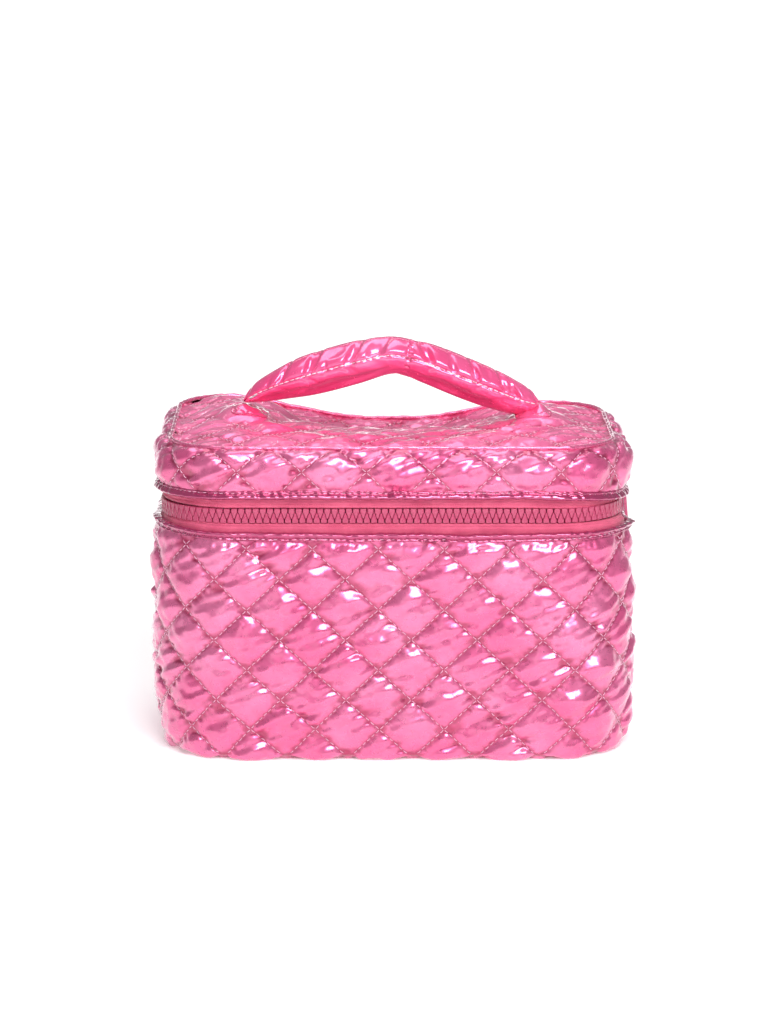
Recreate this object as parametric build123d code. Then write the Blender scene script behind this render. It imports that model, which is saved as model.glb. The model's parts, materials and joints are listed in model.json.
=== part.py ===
"""Quilted makeup bag: a soft train case with a zipped lid and a padded top handle.

Millimetres. +X is the wearer's right along the width, -Y is the front and +Z is up. The origin is the
middle of the flat underside. The bag is a stack of nested layers, so every ring of fabric, padding, tape
or lining is the same rounded rectangle, moved in from the bag's outline by its own inset.
"""
from build123d import *
from math import acos, asin, cos, degrees, hypot, pi, radians, sin, sqrt
import os

# Outline of the bag seen from above
WIDTH = 254.0
DEPTH = 156.0
CORNER_R = 44.0

# Heights above the floor
ZIP_Z = 132.0            # middle of the zip, and height of the lid's fold at the back
RIM_GAP = 8.6            # from the middle of the zip to either rim
RIM_TALL = 4.4           # height of the folded, topstitched rim
LID_TOP_Z = 167.0        # where the lid's side band meets its top panel

# Layers of the wall, as insets from the outline
WALL_T = 5.0             # quilted fabric: shell, wadding and backing sewn through
FOAM = (5.2, 8.7)
LINING = (8.9, 9.7)
TAPE = (5.1, 5.9)
RIM = (2.0, 5.0)
HINGE_OUTER = (3.0, 4.9)
HINGE_INNER = (5.1, 5.9)
TEETH = (3.8, 7.2)

# Base
BASE_ROLL_R = 8.0        # how round the wall turns under the bag
SEAM_INSET = 12.0        # seam between the wall and the bottom panel
BOARD_Z = (5.2, 7.3)
BINDING_INSET = (10.2, 14.2)
FLOOR_LINING_Z = (7.5, 8.3)

# Lid
LID_ROLL_R = 9.0
WELT_INSET = (8.0, 10.4)
PANEL_CROWN_Z = 170.0
CEILING_Z = 162.0        # underside of the quilted top panel
LID_FOAM_T = 3.3
LID_LINING_T = 0.8

# Zip: moulded teeth on two tapes
PITCH = 3.75
CHAIN_WIDE = 7.6
TOOTH_ROOT = 2.8         # width where the tooth meets its tape
TOOTH_TIP = 0.9
TOOTH_LONG = 5.4
TEETH_EACH_SIDE = 65     # pitches from the middle of the front to an end
TAPE_SEWN = 6.0          # tape hidden behind each rim
TAPE_END_ANGLE = 58.0    # how far round the rear corner the tape runs
LID_OPENS = 100.0

# Sliders and pulls, on the right side
SLIDER_LONG = 14.0
SLIDER_TALL = 11.6
SLIDER_PLATE = 1.6
SLIDER_CLEAR = 0.3       # between a plate and the teeth
SLIDERS_MEET_Y = 12.0
SLIDER_APART = 1.4
BAR = 1.2                # square bar of the bail
TUNNEL = 1.9             # room under the bar
RING_WIRE_R = 0.6
RING_R = 1.55
PULL_LONG = 24.0
PULL_WIDE = 8.5
PULL_THICK = 1.6
PULL_LEAN = 5.0          # degrees that a pull stands off the bulging wall

# Handle: a stuffed tube that arches between two sewn feet
HANDLE_HALF_SPAN = 77.0
HANDLE_PIVOT_Z = 178.0
HANDLE_RISE = 28.0
HANDLE_SLEEVE_T = 1.6
# share of the half span from the foot, half width across, half height
HANDLE_SECTIONS = ((0.0, 3.4, 2.4), (0.12, 6.6, 5.4), (0.35, 11.0, 9.4), (1.0, 12.0, 10.2))
FOOT_PATCH = (20.0, 22.0, 0.8)
FOOT_LUG = (6.0, 8.0, 11.6)
FOOT_CLEAR = 2.2         # from the end of the handle to the lug
WEBBING = (12.0, 1.4)

TAPE_MID = (TAPE[0] + TAPE[1]) / 2
CENTRE_X = WIDTH / 2 - CORNER_R
CENTRE_Y = DEPTH / 2 - CORNER_R
TAPE_R = CORNER_R - TAPE_MID
BASE_RIM_TOP = ZIP_Z - RIM_GAP
LID_RIM_BOTTOM = ZIP_Z + RIM_GAP + 0.2
BASE_WALL_TOP = BASE_RIM_TOP - RIM_TALL - 0.1
LID_WALL_BOTTOM = LID_RIM_BOTTOM + RIM_TALL + 0.1
HINGE_Y = DEPTH / 2 - TAPE_MID
TAPE_END_X = CENTRE_X + TAPE_R * cos(radians(TAPE_END_ANGLE))


def block(inset, low, high):
    """The bag's outline moved in by inset, as a solid between two heights."""
    outline = RectangleRounded(WIDTH - 2 * inset, DEPTH - 2 * inset, CORNER_R - inset)
    return extrude(Pos(0, 0, low) * outline, high - low)


def ring(insets, low, high):
    """A closed band of wall between two insets."""
    outer, inner = insets
    return block(outer, low, high) - block(inner, low - 1, high + 1)


def edges_at(part, z):
    """The edges of a part that lie flat at height z."""
    return part.edges().filter_by(lambda e: abs(e.bounding_box().min.Z - z) < 1e-4
                                  and abs(e.bounding_box().max.Z - z) < 1e-4)


def behind(half_width):
    """A box over the back of the bag, as wide as the stretch that it cuts out."""
    return Pos(0, DEPTH / 2, ZIP_Z) * Box(2 * half_width, DEPTH - 20, 60)


def base_wall():
    outer = block(0, 0, BASE_WALL_TOP)
    outer = fillet(edges_at(outer, 0), BASE_ROLL_R)
    inner = block(WALL_T, WALL_T, BASE_WALL_TOP + 1)
    inner = fillet(edges_at(inner, WALL_T), BASE_ROLL_R - WALL_T)
    return outer - inner - block(SEAM_INSET, -1, WALL_T + 1)


def base_rim():
    band = ring(RIM, BASE_WALL_TOP + 0.1, BASE_RIM_TOP)
    return fillet(edges_at(band, BASE_RIM_TOP), 1.2)


def lid_wall():
    outer = block(0, LID_WALL_BOTTOM, LID_TOP_Z)
    outer = fillet(edges_at(outer, LID_TOP_Z), LID_ROLL_R)
    inner = block(WALL_T, LID_WALL_BOTTOM - 1, CEILING_Z)
    inner = fillet(edges_at(inner, CEILING_Z), LID_ROLL_R - WALL_T)
    return outer - inner - block(WELT_INSET[0], CEILING_Z - 1, LID_TOP_Z + 1)


def lid_rim():
    band = ring(RIM, LID_RIM_BOTTOM, LID_WALL_BOTTOM - 0.1)
    return fillet(edges_at(band, LID_RIM_BOTTOM), 1.2)


def lid_panel():
    panel = block(WELT_INSET[1], CEILING_Z, PANEL_CROWN_Z)
    return fillet(edges_at(panel, PANEL_CROWN_Z), 3.0)


def lid_welt():
    """The raised, stuffed seam round the top panel."""
    welt = ring((WELT_INSET[0] + 0.02, WELT_INSET[1] - 0.02), LID_TOP_Z - 1.6, LID_TOP_Z + 1.6)
    return fillet(edges_at(welt, LID_TOP_Z + 1.6), 1.1)


def tape(low, high):
    """One zip tape: a thin band round the front, the sides and part of the rear corners."""
    return ring(TAPE, low, high) - behind(TAPE_END_X)


def hinge_layer(insets, low, high):
    """A strip of the back, between the ends of the tapes."""
    return ring(insets, low, high) & behind(TAPE_END_X - 0.4)


def along_zip(s):
    """Place and heading on the tape's middle line, s millimetres from the middle of the front."""
    side = 1 if s >= 0 else -1
    s = abs(s)
    quarter = TAPE_R * pi / 2
    if s <= CENTRE_X:
        x, y, heading = s, -CENTRE_Y - TAPE_R, 0.0
    elif s <= CENTRE_X + quarter:
        turn = (s - CENTRE_X) / TAPE_R
        x, y = CENTRE_X + TAPE_R * sin(turn), -CENTRE_Y - TAPE_R * cos(turn)
        heading = degrees(turn)
    elif s <= CENTRE_X + quarter + 2 * CENTRE_Y:
        x, y, heading = CENTRE_X + TAPE_R, s - CENTRE_X - quarter - CENTRE_Y, 90.0
    else:
        turn = (s - CENTRE_X - quarter - 2 * CENTRE_Y) / TAPE_R
        x, y = CENTRE_X + TAPE_R * cos(turn), CENTRE_Y + TAPE_R * sin(turn)
        heading = 90.0 + degrees(turn)
    return side * x, y, side * heading


def tooth(s, up):
    """One moulded tooth, rooted on the lower tape (up=1) or on the upper one (up=-1)."""
    x, y, heading = along_zip(s)
    root = ZIP_Z - up * CHAIN_WIDE / 2
    tip = root + up * TOOTH_LONG
    thick = TEETH[1] - TEETH[0]
    corners = [(-TOOTH_ROOT / 2, root), (TOOTH_ROOT / 2, root), (TOOTH_TIP / 2, tip), (-TOOTH_TIP / 2, tip)]
    face = Plane.XZ * make_face(Polyline(*corners, close=True))
    return Location((x, y, 0), (0, 0, heading)) * extrude(face, thick / 2, both=True)


def teeth(up):
    offset = 0.5 if up == 1 else 0.0
    count = 2 * TEETH_EACH_SIDE + (0 if up == 1 else 1)
    return Compound([tooth((k - TEETH_EACH_SIDE + offset) * PITCH, up) for k in range(count)])


def end_stops():
    """The moulded block at each end of the zip, seated on the lower tape."""
    stops = []
    for side in (-1, 1):
        x, y, heading = along_zip(side * (TEETH_EACH_SIDE + 0.9) * PITCH)
        place = Location((x, y, ZIP_Z - CHAIN_WIDE / 4), (0, 0, heading))
        stops.append(place * Box(2.0, TEETH[1] - TEETH[0], CHAIN_WIDE / 2 - 0.3))
    return Compound(stops)


def slider(nose_y, direction):
    """A zip slider seen from its nose at nose_y, with its tail away from the other slider.
    Two plates hold the teeth between them. The outer one carries the bail."""
    tail_y = nose_y + direction * SLIDER_LONG
    half = SLIDER_TALL / 2
    outline = [(nose_y, half - 1.2), (nose_y + direction * 2.2, half), (nose_y + direction * 7.5, half),
               (tail_y, half - 2.0)]
    outline += [(y, -z) for y, z in reversed(outline)]
    face = Plane.YZ * Pos(0, ZIP_Z) * make_face(Polyline(*outline, close=True))
    outer_x = WIDTH / 2 - TEETH[0] + SLIDER_CLEAR
    inner_x = WIDTH / 2 - TEETH[1] - SLIDER_CLEAR - SLIDER_PLATE
    outer = Pos(outer_x, 0, 0) * extrude(face, SLIDER_PLATE)
    inner = Pos(inner_x, 0, 0) * extrude(face, SLIDER_PLATE)
    top_x = outer_x + SLIDER_PLATE
    middle_y = nose_y + direction * SLIDER_LONG / 2
    reach = 9.4
    bar = Pos(top_x + TUNNEL + BAR / 2, middle_y, ZIP_Z) * Box(BAR, reach, BAR)
    legs = [Pos(top_x + (TUNNEL + BAR) / 2, middle_y + end * (reach - 1.6) / 2, ZIP_Z)
            * Box(TUNNEL + BAR, 1.6, 2.4) for end in (-1, 1)]
    bail = outer + bar + legs[0] + legs[1]
    return Compound([bail.solid(), inner.solid()])


def pull(middle_y):
    """A pull tab: a ring round the bail's bar, and a flat tongue that hangs from it."""
    bar_x = WIDTH / 2 - TEETH[0] + SLIDER_CLEAR + SLIDER_PLATE + TUNNEL + BAR / 2
    loop = Rot(90, 0, 0) * Torus(RING_R, RING_WIRE_R)
    tongue = Pos(0, -PULL_LONG / 2) * RectangleRounded(PULL_WIDE, PULL_LONG, 2.6)
    slot = Pos(0, -PULL_LONG + 6.5) * SlotOverall(4.5, 2.2, rotation=0)
    plate = Plane.YZ * (tongue - slot)
    plate = Pos(-PULL_THICK / 2, 0, 0) * extrude(plate, PULL_THICK)
    plate = Pos(0, 0, -RING_R) * plate - Rot(90, 0, 0) * Cylinder(RING_R, PULL_WIDE + 2)
    hung = loop + plate
    return Location((bar_x, middle_y, ZIP_Z), (0, -PULL_LEAN, 0)) * hung


def handle_arc():
    """Radius and centre height of the arch between the two feet."""
    radius = (HANDLE_HALF_SPAN ** 2 + HANDLE_RISE ** 2) / (2 * HANDLE_RISE)
    return radius, HANDLE_PIVOT_Z + HANDLE_RISE - radius


def handle_section(share, half_wide, half_tall):
    """An ellipse across the arch, at a signed share of the way from the middle to a foot."""
    radius, centre_z = handle_arc()
    turn = share * asin(HANDLE_HALF_SPAN / radius)
    place = Location((radius * sin(turn), 0, centre_z + radius * cos(turn)), (0, degrees(turn), 0))
    return place * (Plane.YZ * Ellipse(half_wide, half_tall)).face()


def handle_body(shrink, first_share):
    """The stuffed tube, shrunk all round by a thickness and ending short of the feet by a share."""
    half = []
    for from_foot, wide, tall in HANDLE_SECTIONS:
        share = max(1.0 - from_foot, 0.0)
        half.append((min(share, 1.0 - first_share), wide - shrink, tall - shrink))
    places = half + [(-share, wide, tall) for share, wide, tall in reversed(half[:-1])]
    return loft([handle_section(*place) for place in places])


def handle_webbing(length_share):
    """The load-bearing strap along the middle of the handle."""
    radius, centre_z = handle_arc()
    turn = degrees(length_share * asin(HANDLE_HALF_SPAN / radius))
    strip = Pos(0, 0, centre_z) * (Rot(90, 0, 0) * (Cylinder(radius + WEBBING[1] / 2, WEBBING[0])
                                                     - Cylinder(radius - WEBBING[1] / 2, WEBBING[0] + 2)))
    reach = radius * 2
    wedge = make_face(Polyline((0, 0), (reach * sin(radians(turn)), reach * cos(radians(turn))),
                               (-reach * sin(radians(turn)), reach * cos(radians(turn))), close=True))
    sector = Pos(0, 0, centre_z) * extrude(Plane.XZ * wedge, WEBBING[0], both=True)
    return strip & sector


def handle_foot(side):
    """The patch sewn to the lid under one end of the handle, and the gathered lug that the end joins."""
    long, wide, thick = FOOT_PATCH
    patch = Pos(side * HANDLE_HALF_SPAN, 0, PANEL_CROWN_Z + thick / 2) * Box(long, wide, thick)
    patch = fillet(patch.edges().filter_by(Axis.Z), 5.0)
    long, wide, tall = FOOT_LUG
    lug_x = side * (HANDLE_HALF_SPAN + FOOT_CLEAR + long / 2)
    lug = Pos(lug_x, 0, PANEL_CROWN_Z + tall / 2) * Box(long, wide, tall)
    lug = fillet(lug.edges().filter_by(lambda e: e.center().Z > PANEL_CROWN_Z + 0.1), 2.0)
    return patch + lug


def build():
    nodes = {
        "base_quilted_wall": base_wall(),
        "base_quilted_bottom": block(SEAM_INSET + 0.1, 0, WALL_T),
        "base_rim_fold": base_rim(),
        "base_wall_foam": ring(FOAM, 13.0, BASE_RIM_TOP - TAPE_SEWN - 0.3),
        "base_bottom_board": block(BINDING_INSET[1] + 0.3, *BOARD_Z),
        "base_seam_binding": ring(BINDING_INSET, BOARD_Z[0], BOARD_Z[1] - 0.1),
        "base_wall_lining": ring(LINING, FLOOR_LINING_Z[1] + 0.1, BASE_RIM_TOP - 1.5),
        "base_floor_lining": block(LINING[0], *FLOOR_LINING_Z),
        "zip_tape_lower": tape(BASE_RIM_TOP - TAPE_SEWN, ZIP_Z - CHAIN_WIDE / 2 - 0.1),
        "zip_teeth_lower": teeth(1),
        "zip_end_stops": end_stops(),
        "hinge_outer_panel": hinge_layer(HINGE_OUTER, BASE_RIM_TOP + 0.2, LID_RIM_BOTTOM - 0.9),
        "hinge_lining": hinge_layer(HINGE_INNER, BASE_RIM_TOP - TAPE_SEWN, LID_RIM_BOTTOM - 0.9),
        "lid_quilted_wall": lid_wall(),
        "lid_quilted_top": lid_panel(),
        "lid_top_welt": lid_welt(),
        "lid_rim_fold": lid_rim(),
        "lid_wall_foam": ring(FOAM, LID_RIM_BOTTOM + TAPE_SEWN + 0.3, CEILING_Z - LID_FOAM_T - 1.0),
        "lid_top_foam": block(WELT_INSET[0] + 0.2, CEILING_Z - LID_FOAM_T - 0.1, CEILING_Z - 0.1),
        "lid_wall_lining": ring(LINING, LID_RIM_BOTTOM + 1.5, CEILING_Z - LID_FOAM_T - 1.2),
        "lid_ceiling_lining": block(LINING[0], CEILING_Z - LID_FOAM_T - LID_LINING_T - 0.2,
                                    CEILING_Z - LID_FOAM_T - 0.2),
        "zip_tape_upper": tape(ZIP_Z + CHAIN_WIDE / 2 + 0.1, LID_RIM_BOTTOM + TAPE_SEWN),
        "zip_teeth_upper": teeth(-1),
        "handle_foot_left": handle_foot(-1),
        "handle_foot_right": handle_foot(1),
        "handle_sleeve": handle_body(0.0, 0.0) - handle_body(HANDLE_SLEEVE_T, 0.07),
        "handle_filling": handle_body(HANDLE_SLEEVE_T + 0.1, 0.075) - handle_webbing(0.8),
        "handle_webbing": handle_webbing(0.78) & handle_body(HANDLE_SLEEVE_T + 0.3, 0.08),
    }
    for name, direction in (("front", -1), ("rear", 1)):
        nose_y = SLIDERS_MEET_Y + direction * SLIDER_APART / 2
        nodes[f"zip_slider_{name}"] = slider(nose_y, direction)
        nodes[f"zip_pull_{name}"] = pull(nose_y + direction * SLIDER_LONG / 2)
    return nodes


if __name__ == "__main__":
    os.makedirs("parts", exist_ok=True)
    for node_name, shape in build().items():
        export_step(shape, f"parts/{node_name}.step")
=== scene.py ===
"""Looks for the quilted makeup bag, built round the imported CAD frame. Geometry is worked out in mm."""
import json
from math import pi

import bpy
import numpy as np
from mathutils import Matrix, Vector

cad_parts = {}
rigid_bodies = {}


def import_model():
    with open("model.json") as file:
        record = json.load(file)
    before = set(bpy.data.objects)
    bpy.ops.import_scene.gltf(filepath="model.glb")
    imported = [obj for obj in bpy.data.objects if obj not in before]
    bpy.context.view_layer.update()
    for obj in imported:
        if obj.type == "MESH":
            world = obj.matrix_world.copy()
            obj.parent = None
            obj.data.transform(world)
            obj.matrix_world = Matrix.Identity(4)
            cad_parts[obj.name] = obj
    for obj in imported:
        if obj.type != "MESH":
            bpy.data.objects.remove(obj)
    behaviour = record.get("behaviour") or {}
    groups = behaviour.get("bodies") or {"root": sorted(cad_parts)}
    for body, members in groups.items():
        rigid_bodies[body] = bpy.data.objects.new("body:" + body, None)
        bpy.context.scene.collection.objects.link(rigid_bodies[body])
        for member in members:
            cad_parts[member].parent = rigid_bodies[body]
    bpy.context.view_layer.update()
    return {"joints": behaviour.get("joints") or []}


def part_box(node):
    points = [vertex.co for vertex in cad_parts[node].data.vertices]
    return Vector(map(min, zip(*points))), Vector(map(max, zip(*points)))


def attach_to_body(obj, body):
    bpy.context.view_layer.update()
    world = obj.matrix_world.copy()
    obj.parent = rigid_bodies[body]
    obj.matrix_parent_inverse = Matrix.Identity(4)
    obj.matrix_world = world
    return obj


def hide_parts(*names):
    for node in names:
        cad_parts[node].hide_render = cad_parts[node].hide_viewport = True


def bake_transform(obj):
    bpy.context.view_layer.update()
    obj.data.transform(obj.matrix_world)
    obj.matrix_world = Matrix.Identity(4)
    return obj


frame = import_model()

MM = 0.001


# ---------------------------------------------------------------- sizes, read from the frame
def node_mm(name):
    low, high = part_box(name)
    return np.array(low) / MM, np.array(high) / MM


WALL_HIGH = node_mm("base_quilted_wall")[1]
RIM_LOW, RIM_HIGH = node_mm("base_rim_fold")
LID_LOW, LID_HIGH = node_mm("lid_quilted_wall")
LRIM_LOW, LRIM_HIGH = node_mm("lid_rim_fold")
TOP_HIGH = node_mm("lid_quilted_top")[1]
LTAPE_LOW, LTAPE_HIGH = node_mm("zip_tape_lower")
UTAPE_LOW, UTAPE_HIGH = node_mm("zip_tape_upper")
BOTTOM_HIGH = node_mm("base_quilted_bottom")[1]
FLOOR_HIGH = node_mm("base_floor_lining")[1]
CEIL_HIGH = node_mm("lid_ceiling_lining")[1]
JOINTS = {j["name"]: j for j in frame["joints"]}
ZIP_Z = JOINTS["lid_hinge"]["pos_m"][2] / MM

HALF_X, HALF_Y = WALL_HIGH[0], WALL_HIGH[1]
CORNER_R = 44.0
CENTRE_X, CENTRE_Y = HALF_X - CORNER_R, HALF_Y - CORNER_R
ARC = CORNER_R * pi / 2
PERIMETER = 4 * (CENTRE_X + CENTRE_Y + ARC)

# Quilting: square cells on the diagonal
CELLS_ROUND = 22
CELL_W = PERIMETER / CELLS_ROUND
CELL_H = 32.4
SEAM_LONG = np.hypot(CELL_W, CELL_H) / 2
PHASE_BASE = (8.9, 98.4)                 # a crossing of the seams: along the front, above the floor
PHASE_LID = (20.5, 155.7)
PUFF_N = 23                              # mesh steps along one side of a cell
SEAM_DEEP = 2.1                          # from the face of the CAD wall in to the stitching


# ---------------------------------------------------------------- small helpers
def smooth(x, low, high):
    t = np.clip((x - low) / (high - low), 0, 1)
    return t * t * (3 - 2 * t)


def wave_noise(seed, count, spread):
    """A smooth random field: a sum of sine waves of the given wavelengths in mm. Returns f(x, y)."""
    rng = np.random.default_rng(seed)
    angle = rng.uniform(0, 2 * pi, count)
    long = rng.uniform(spread[0], spread[1], count)
    phase = rng.uniform(0, 2 * pi, count)
    kx, ky = 2 * pi * np.cos(angle) / long, 2 * pi * np.sin(angle) / long

    def field(x, y):
        total = np.zeros(np.shape(x))
        for a, b, c in zip(kx, ky, phase):
            total = total + np.sin(a * x + b * y + c)
        return total / np.sqrt(count / 2)
    return field


def wrap(u):
    return np.mod(np.asarray(u, float) + PERIMETER / 2, PERIMETER) - PERIMETER / 2


def outline(u):
    """Point and outward normal at u mm along the bag's outline, from the middle of the front towards +X."""
    u = wrap(u)
    side = np.where(u < 0, -1.0, 1.0)
    s = np.abs(u)
    a, b, c = CENTRE_X, CENTRE_X + ARC, CENTRE_X + ARC + 2 * CENTRE_Y
    d = c + ARC
    turn = np.clip((s - a) / CORNER_R, 0, pi / 2) + np.clip((s - c) / CORNER_R, 0, pi / 2)
    nx, ny = np.sin(turn), -np.cos(turn)
    x = np.select([s <= a, s <= b, s <= c, s <= d], [s, CENTRE_X + 0 * s, CENTRE_X + 0 * s, CENTRE_X + 0 * s],
                  CENTRE_X - (s - d)) + nx * CORNER_R
    y = np.select([s <= a, s <= b, s <= c], [-CENTRE_Y + 0 * s, -CENTRE_Y + 0 * s, -CENTRE_Y + (s - b)],
                  CENTRE_Y + 0 * s) + ny * CORNER_R
    return side * x, y, side * nx, ny


def make_mesh(name, points_mm, faces, material, shade_smooth=True):
    mesh = bpy.data.meshes.new(name)
    mesh.from_pydata((np.asarray(points_mm) * MM).tolist(), [], [list(map(int, f)) for f in faces])
    mesh.validate()
    mesh.polygons.foreach_set("use_smooth", [shade_smooth] * len(mesh.polygons))
    mesh.materials.append(material)
    mesh.update()
    piece = bpy.data.objects.new(name, mesh)
    bpy.context.scene.collection.objects.link(piece)
    return piece


def grid_faces(rows, cols, closed_cols=False, closed_rows=False):
    index = np.arange(rows * cols).reshape(rows, cols)
    if closed_cols:
        index = np.concatenate([index, index[:, :1]], 1)
    if closed_rows:
        index = np.concatenate([index, index[:1]], 0)
    return np.stack([index[:-1, :-1], index[:-1, 1:], index[1:, 1:], index[1:, :-1]], -1).reshape(-1, 4)


def add_uv(piece, uv_mm):
    """Surface coordinates in mm for weaves, stored per corner so that they run on past the closing seam."""
    mesh = piece.data
    points = np.zeros(len(mesh.loops), np.int32)
    mesh.loops.foreach_get("vertex_index", points)
    sizes = np.zeros(len(mesh.polygons), np.int32)
    mesh.polygons.foreach_get("loop_total", sizes)
    starts = np.concatenate([[0], np.cumsum(sizes)[:-1]])
    corner = np.asarray(uv_mm, np.float32)[points]
    furthest = np.repeat(np.maximum.reduceat(corner[:, 0], starts), sizes)
    corner[:, 0] += np.where(furthest - corner[:, 0] > PERIMETER / 2, PERIMETER, 0)
    layer = mesh.attributes.new("weave", "FLOAT2", "CORNER")
    layer.data.foreach_set("vector", corner.reshape(-1))


def add_puff(piece, height):
    """How far up a puff each point lies, from 0 on a seam to 1; the nylon's colour is darkened towards 0 as painted
    shade in the seam hollows.
    """
    layer = piece.data.attributes.new("puff", "FLOAT", "POINT")
    layer.data.foreach_set("value", np.asarray(height, np.float32).reshape(-1))


def attach(piece, body, nodes=()):
    """Says which body a piece rides on and hides the nodes it stands for."""
    if nodes:
        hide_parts(*nodes)
    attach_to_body(piece, body)
    return piece


def push_in(x, y, inset):
    """How far in each point lies from the outline moved in by inset; points beyond it are brought onto it."""
    depth = inside(x, y, inset)
    qx, qy = np.clip(x, -CENTRE_X, CENTRE_X), np.clip(y, -CENTRE_Y, CENTRE_Y)
    gap = np.hypot(x - qx, y - qy) + 1e-9
    radius = CORNER_R - inset
    return depth, np.where(depth < 0, qx + (x - qx) / gap * radius, x), \
        np.where(depth < 0, qy + (y - qy) / gap * radius, y)


# ---------------------------------------------------------------- the quilting
def run_cloth(points_mm, faces, rest_mm, pinned, pressure, frames, tension=80.0, bending=10.0):
    """Cloth simulation of a small mesh, ten times real size. Returns where its points end up, in mm."""
    mesh = bpy.data.meshes.new("cloth")
    mesh.from_pydata((points_mm * 0.01).tolist(), [], faces.tolist())
    piece = bpy.data.objects.new("cloth", mesh)
    bpy.context.scene.collection.objects.link(piece)
    piece.shape_key_add(name="start")
    rest = piece.shape_key_add(name="rest")
    rest.data.foreach_set("co", (rest_mm * 0.01).astype(np.float32).reshape(-1))
    group = piece.vertex_groups.new(name="pins")
    group.add([int(i) for i in np.nonzero(pinned)[0]], 1.0, "REPLACE")
    cloth = piece.modifiers.new("cloth", "CLOTH")
    s = cloth.settings
    s.quality = 8
    s.mass = 0.3
    s.tension_stiffness = s.compression_stiffness = tension
    s.shear_stiffness = tension / 2
    s.bending_stiffness = bending
    s.tension_damping = s.compression_damping = s.shear_damping = 5
    s.bending_damping = 0.5
    s.vertex_group_mass = "pins"
    s.rest_shape_key = rest
    s.effector_weights.gravity = 0
    s.use_pressure = True
    s.uniform_pressure_force = pressure
    cloth.collision_settings.use_collision = False
    scene = bpy.context.scene
    cloth.point_cache.frame_end = frames
    for f in range(1, frames + 1):
        scene.frame_set(f)
    done = piece.evaluated_get(bpy.context.evaluated_depsgraph_get())
    out = np.zeros(len(mesh.vertices) * 3, np.float32)
    done.data.vertices.foreach_get("co", out)
    scene.frame_set(1)
    bpy.data.objects.remove(piece)
    bpy.data.meshes.remove(mesh)
    return out.reshape(-1, 3).astype(float) / 0.01


PATCH = 6          # cells along each side of the simulated patch
PUFF_HIGH = 2.6    # from the stitching to the top of a puff
FOLD_HIGH, BEAD_HIGH, BROAD_HIGH = 0.70, 0.36, 0.50


def make_puffs():
    """A library of stuffed cells sewn down along their edges: [cell, a, b, (along, up, out)] in mm."""
    n = PUFF_N
    k = np.arange(PATCH * n + 1) / n
    a, b = np.meshgrid(k, k, indexing="ij")
    u, v = (a + b) * CELL_W / 2, (a - b) * CELL_H / 2
    fa, fb = a - np.floor(a), b - np.floor(b)
    dome = (np.sin(pi * fa) * np.sin(pi * fb)).clip(0) ** 0.55
    rough = wave_noise(11, 60, (2.6, 9.0))(u, v)
    tilt = wave_noise(12, 12, (40, 90))(u, v)
    start = np.stack([u, v, dome * (1.7 + 0.35 * rough + 0.3 * tilt)], -1).reshape(-1, 3)
    more_a, more_b = 1.042, 1.058        # spare cloth along the two directions
    ra, rb = a * more_a, b * more_b
    rest = np.stack([(ra + rb) * CELL_W / 2, (ra - rb) * CELL_H / 2, 0 * u], -1).reshape(-1, 3)
    on_seam = (np.round(a * n).astype(int) % n == 0) | (np.round(b * n).astype(int) % n == 0)
    start[on_seam.reshape(-1), 2] = 0
    end = run_cloth(start, grid_faces(*a.shape), rest, on_seam.reshape(-1), 2.0, 20).reshape(*a.shape, 3)
    move = end - np.stack([u, v, 0 * u], -1)
    cells = np.array([move[i * n:(i + 1) * n + 1, j * n:(j + 1) * n + 1] for i in range(PATCH)
                      for j in range(PATCH)])
    for _ in range(9):                       # takes out what is finer than the mesh can carry
        inner = cells[:, 1:-1, 1:-1]
        around = (cells[:, :-2, 1:-1] + cells[:, 2:, 1:-1] + cells[:, 1:-1, :-2] + cells[:, 1:-1, 2:]) / 4
        cells[:, 1:-1, 1:-1] = 0.5 * inner + 0.5 * around
    top = np.median(cells[..., 2].max(axis=(1, 2)))
    cells[..., 2] *= PUFF_HIGH / top * np.random.default_rng(16).uniform(0.86, 1.1, len(cells))[:, None, None]
    row, col = np.divmod(np.arange(len(cells)), PATCH)
    share = np.arange(n + 1) / n
    fa, fb = share[None, :, None], share[None, None, :]
    a, b = (row[:, None, None] + fa) * SEAM_LONG, (col[:, None, None] + fb) * SEAM_LONG
    to_a, to_b = np.minimum(fa, 1 - fa) * SEAM_LONG, np.minimum(fb, 1 - fb) * SEAM_LONG
    folds = wave_noise(13, 60, (4.6, 11.0))(b - 0.40 * a, 0.10 * a)     # run off the falling seams
    beads = wave_noise(14, 40, (3.2, 4.6))(a, 0.2 * b)                  # gathers along the rising seams
    broad = wave_noise(15, 16, (12.0, 22.0))(b - 0.45 * a, 0.25 * a)
    inner = np.sin(pi * fa) * np.sin(pi * fb)
    cells[..., 2] += FOLD_HIGH * folds * np.exp(-to_a / 8.0) * smooth(to_a, 0, 1.8) * smooth(to_b, 0, 4.0)
    cells[..., 2] += BEAD_HIGH * beads * np.exp(-to_b / 1.9) * smooth(to_b, 0, 1.1) * smooth(to_a, 0, 2.0)
    cells[..., 2] += BROAD_HIGH * broad * inner
    return cells


PUFFS = make_puffs()


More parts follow.
